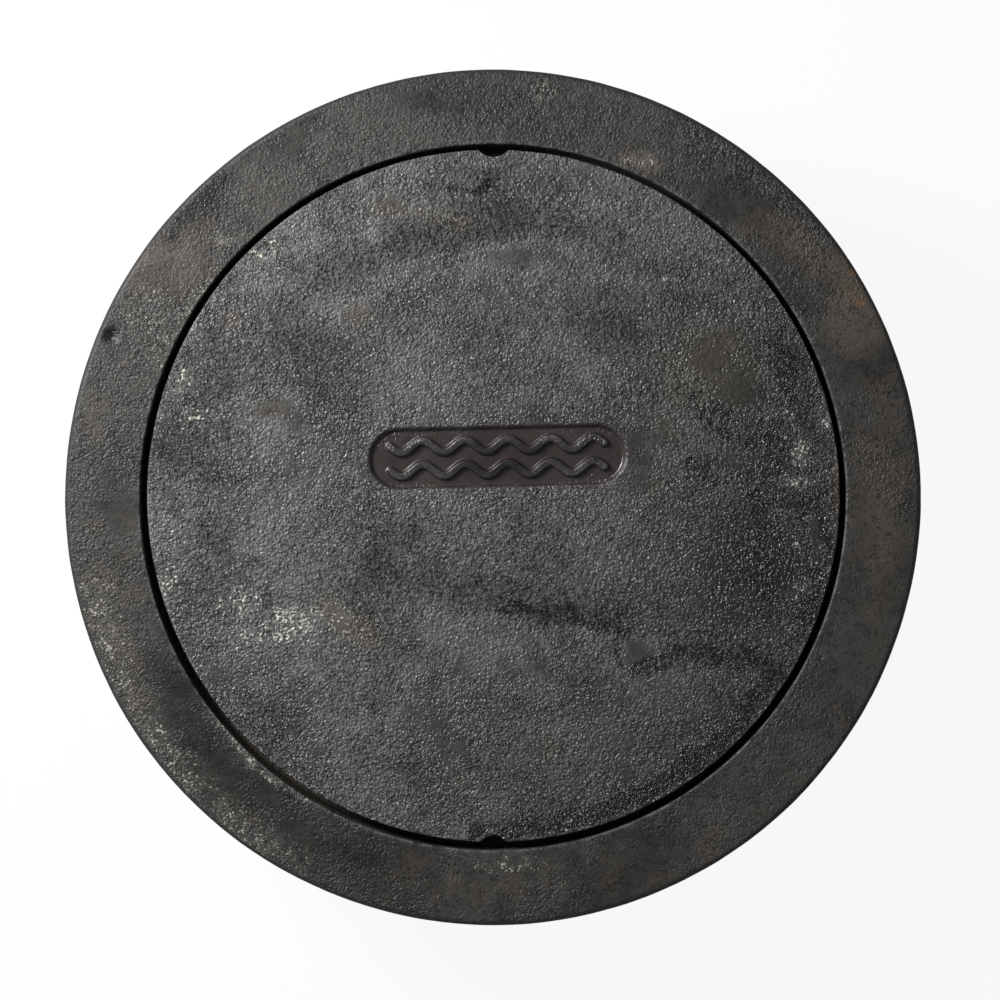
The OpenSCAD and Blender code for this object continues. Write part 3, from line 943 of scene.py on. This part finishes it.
# Flecks of a dry film or crust: a fine noise that rises above a level which the amount lowers. The haze is
# the thin film between the flecks.
def makeFlecks(s):
    inputs = {"Vector": ["Place"], "Float": ["Flecks per metre", "Amount"]}
    tree, given = startGroup("flecks", inputs, {"Float": ["Mask", "Haze"]})
    place, amount, scale = given["Place"], given["Amount"], given["Flecks per metre"]
    fine = noiseNode(tree, place, scale, *s["fineNoise"])
    clumps = noiseNode(tree, place, mathNode(tree, scale, s["clumpScale"]), *s["clumpNoise"])
    level = mathNode(tree, amount, s["amountShare"], mathNode(tree, clumps, s["clumpShare"], fine))
    hazeLevel = mathNode(tree, amount, s["hazeAmount"], clumps)
    present = easeNode(tree, amount, s["presentEdges"])
    addNode(tree, "NodeGroupOutput", {
        "Mask": mathNode(tree, easeNode(tree, level, s["fleckEdges"]), present),
        "Haze": mathNode(tree, easeNode(tree, hazeLevel, s["hazeEdges"]), present),
    })
    return tree


castGrain, coatTone, flecks = makeCastGrain(grainSetup), makeCoatTone(toneSetup), makeFlecks(fleckSetup)


# Cast iron under a tar coat, with its pale crust, rust and wet spots where the piece's marks put them
def makeIron(name, s):
    material, tree = startMaterial(name)
    place = addNode(tree, "ShaderNodeTexCoord").outputs["Object"]
    mark = {}
    for kind in list(lidSpots) + ["dust", "lip", "floor", "rim"]:
        mark[kind] = addNode(tree, "ShaderNodeAttribute", attribute_name=kind).outputs["Fac"]

    calm = mathNode(tree, mark["floor"], s["floorCalm"], mark["smooth"])
    calm = mathNode(tree, mark["dark"], s["darkCalm"], calm)
    gritty = greaterOf(tree, mark["coarse"], mathNode(tree, mark["tar"], s["tarGrit"]))
    grain = useGroup(tree, castGrain, {
        "Place": place, "Grains per metre": s["grainsPerMetre"], "Coarse": gritty, "Smooth": calm})
    tone = useGroup(tree, coatTone, {
        "Place": place, "Dark coat": s["coatDark"], "Pale coat": s["coatPale"], "Thin coat": s["coatThin"],
        "Thin": mark["brown"], "Shade": mark["dark"], "Pits": grain["Pits"]})
    crust = useGroup(tree, flecks, {
        "Place": place, "Flecks per metre": s["crustPerMetre"], "Amount": mark["pale"]})
    bloom = useGroup(tree, flecks, {
        "Place": place, "Flecks per metre": s["rustPerMetre"], "Amount": mark["rust"]})

    # The film is wet between the crests, and the crests get a painted highlight in the haze's colour where
    # no dark mark takes it away
    film = mathNode(tree, noiseNode(tree, place, *s["filmNoise"]), s["filmShare"], mark["tar"])
    wet = easeNode(tree, film, s["filmEdges"])
    lowGround = mathNode(tree, grain["Crests"], -s["crestDry"], 1.0)
    patchy = easeNode(tree, noiseNode(tree, place, *s["lipNoise"]), s["lipEdges"])
    crestHighlightShare = mathNode(tree, mark["dark"], -s["crestFade"] * s["crestHighlightShare"], s["crestHighlightShare"])
    layers = [
        (mathNode(tree, mark["floor"], s["floorShare"]), "floorColor"),
        # painted highlight along the lips of the gap, broken by noise
        (mathNode(tree, mark["lip"], patchy), "lipHighlightColor"),
        # painted highlight on the grain's crests in coarse marks
        (mathNode(tree, grain["Crests"], crestHighlightShare), "hazeAndCrestHighlightColor"),
        (mathNode(tree, wet, lowGround), "wetColor"),
        (mathNode(tree, crust["Haze"], s["hazeShare"]), "hazeAndCrestHighlightColor"),
        (crust["Mask"], "crustColor"),
        (bloom["Haze"], "rustColor"),
        # dust in the gap, also painted light that keeps the gap from going black
        (mark["dust"], "dustAndGapLightColor"),
        # painted shade on the flange's rounded outer edge
        (mark["rim"], "rimShadeColor"),
    ]
    color = tone["Color"]
    for share, layerColor in layers:
        color = mixNode(tree, share, color, s[layerColor])

    shaded = greaterOf(tree, mark["dark"], mark["floor"])
    dry = greaterOf(tree, crust["Mask"], greaterOf(tree, mark["dust"], mark["rim"]))
    rough = mathNode(tree, tone["Cloud"], s["roughSpread"], s["roughness"])
    for share, gloss in ((shaded, "darkGloss"), (mark["coarse"], "coarseGloss"), (wet, "wetGloss")):
        rough = mathNode(tree, share, s[gloss], rough)
    rough = mathNode(tree, dry, s["dryRough"], rough, clamp=True)
    bump = addNode(tree, "ShaderNodeBump", {
        "Strength": 1, "Distance": s["grainDepth"] * mm, "Height": grain["Height"]})
    shader = addNode(tree, "ShaderNodeBsdfPrincipled", {
        "Base Color": color, "Roughness": rough, "Normal": bump.outputs["Normal"],
        "Specular IOR Level": s["specular"]})
    addNode(tree, "ShaderNodeOutputMaterial", {"Surface": shader.outputs["BSDF"]})
    return material


lidFinish = {
    "grainsPerMetre": 900,
    "grainDepth": 2.4,            # of the noise that makes the grain, in millimetres
    "floorCalm": 0.3,             # how far the panel's floor and dark marks calm the grain
    "darkCalm": 0.35,
    "tarGrit": 0.6,               # how far tar counts as a coarse mark
    "coatDark": (0.041, 0.0401, 0.0401, 1),
    "coatPale": (0.105, 0.1033, 0.1038, 1),
    "coatThin": (0.072, 0.0645, 0.054, 1),
    "floorColor": (0.031, 0.0205, 0.0205, 1),
    "floorShare": 0.85,
    "filmNoise": [240, 4, 0.65],  # how many per metre, detail and roughness
    "filmShare": 2.2,
    "filmEdges": [1.35, 1.75],
    "wetColor": (0.004, 0.004, 0.004, 1),
    # haze of the crust, and painted highlight on the grain's crests
    "hazeAndCrestHighlightColor": (0.21, 0.21, 0.21, 1),
    "hazeShare": 0.5,
    "crestHighlightShare": 0.55,           # how far crests take the haze's colour as a painted highlight
    "crestFade": 0.6,             # how much of that a dark mark takes away
    "crestDry": 0.5,              # how far crests stand out of the wet film
    "crustPerMetre": 700,
    "crustColor": (0.62, 0.61, 0.53, 1),
    "rustPerMetre": 300,
    "rustColor": (0.23, 0.115, 0.030, 1),
    "lipNoise": [260, 3],
    "lipEdges": [0.4, 0.6],
    # painted highlight along the lips of the gap
    "lipHighlightColor": (0.11, 0.106, 0.102, 1),
    # dust in the gap, also painted light there
    "dustAndGapLightColor": (0.05, 0.043, 0.036, 1),
    # painted shade on the flange's outer edge
    "rimShadeColor": (0.014, 0.0135, 0.013, 1),
    "roughness": 0.33,
    "roughSpread": 0.1,
    "wetGloss": -0.04,            # changes of the roughness
    "darkGloss": -0.06,
    "coarseGloss": -0.05,
    "dryRough": 0.3,
    "specular": 0.8,
}
frameFinish = lidFinish | {
    "grainsPerMetre": 950,
    "grainDepth": 0.85,
    # haze of the crust, and painted highlight on the grain's crests
    "crustPerMetre": 1000,
    "crustColor": (0.40, 0.39, 0.33, 1),
    "hazeAndCrestHighlightColor": (0.15, 0.148, 0.14, 1),
    "coatDark": (0.0310, 0.0285, 0.0266, 1),
    "coatPale": (0.0550, 0.0515, 0.0484, 1),
    "coatThin": (0.080, 0.0692, 0.0578, 1),
    "roughness": 0.38,
    "specular": 0.45,
}


def addObject(name, data):
    added = bpy.data.objects.new(name, data)
    bpy.context.scene.collection.objects.link(added)
    return added


finishes = {
    "frame": ("ringFrame", frameMesh, "frame_iron", makeIron("coatedFrameIron", frameFinish)),
    "lid": ("lidPlate", lidMesh, "lid_iron", makeIron("coatedLidIron", lidFinish)),
}
for node, (pieceName, mesh, slotName, material) in finishes.items():
    mesh.materials.append(material)
    piece = addObject(pieceName, mesh)
    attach(piece, "root")
    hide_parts(node)
print("pieces placed")


# Floor, light and camera

stageSetup = {
    "floorSize": 6.0,     # metres
    "floorColor": (0.9, 0.9, 0.9, 1),
    "floorWhite": 0.92,   # share of plain white that the camera sees, the rest shows the shadow
    "worldColor": (1, 1, 1, 1),
    "worldStrength": 0.18,
    "keyPlace": (-0.55, 0.32, 0.55),
    "keySize": 0.3,
    "keyWatts": 8.9,
    "keyColor": (1, 0.985, 0.97),
    "cameraHeight": 1.5,  # metres above the lid
    "viewWidth": 0.4215,  # metres across the picture at the lid's top
    "viewMiddle": (0.00297, -0.00118),
    "sensorWidth": 36,
}


def makeFloor(s):
    half = s["floorSize"] / 2
    corners = [(-half, -half, 0), (half, -half, 0), (half, half, 0), (-half, half, 0)]
    mesh = bpy.data.meshes.new("floor")
    mesh.from_pydata(corners, [], [(0, 1, 2, 3)])
    material, tree = startMaterial("palePaper")
    paths = addNode(tree, "ShaderNodeLightPath").outputs
    seen = mathNode(tree, paths["Is Camera Ray"], 1.0, paths["Is Glossy Ray"])
    seen = mathNode(tree, seen, 1.0, paths["Is Transmission Ray"], clamp=True)
    factor = mathNode(tree, seen, s["floorWhite"])
    matte = addNode(tree, "ShaderNodeBsdfDiffuse", {"Color": s["floorColor"]})
    white = addNode(tree, "ShaderNodeEmission", {"Color": (1, 1, 1, 1), "Strength": 1})
    mix = addNode(tree, "ShaderNodeMixShader", {0: factor, 1: matte.outputs[0], 2: white.outputs[0]})
    addNode(tree, "ShaderNodeOutputMaterial", {"Surface": mix.outputs[0]})
    mesh.materials.append(material)
    floor = addObject("floor", mesh)


def makeLight(s):
    world = bpy.data.worlds.new("softRoom")
    world.use_nodes = True
    glow = world.node_tree.nodes["Background"].inputs
    glow["Color"].default_value, glow["Strength"].default_value = s["worldColor"], s["worldStrength"]
    bpy.context.scene.world = world
    lamp = bpy.data.lights.new("keyLamp", "AREA")
    lamp.shape = "DISK"
    lamp.size = s["keySize"]
    lamp.energy = s["keyWatts"]
    lamp.color = s["keyColor"]
    key = addObject("keyLamp", lamp)
    key.location = s["keyPlace"]
    aim = -(key.location - type(key.location)((0, 0, topZ * mm)))
    key.rotation_euler = aim.to_track_quat("-Z", "Y").to_euler()
    key.visible_camera = False


def makeCamera(s):
    camera = bpy.data.cameras.new("camera")
    camera.sensor_width = s["sensorWidth"]
    camera.lens = s["sensorWidth"] * s["cameraHeight"] / s["viewWidth"]
    holder = addObject("camera", camera)
    holder.location = (*s["viewMiddle"], topZ * mm + s["cameraHeight"])
    bpy.context.scene.camera = holder


makeFloor(stageSetup)
makeLight(stageSetup)
makeCamera(stageSetup)
bpy.context.scene.view_settings.view_transform = "Standard"
print("floor, light and camera ready")
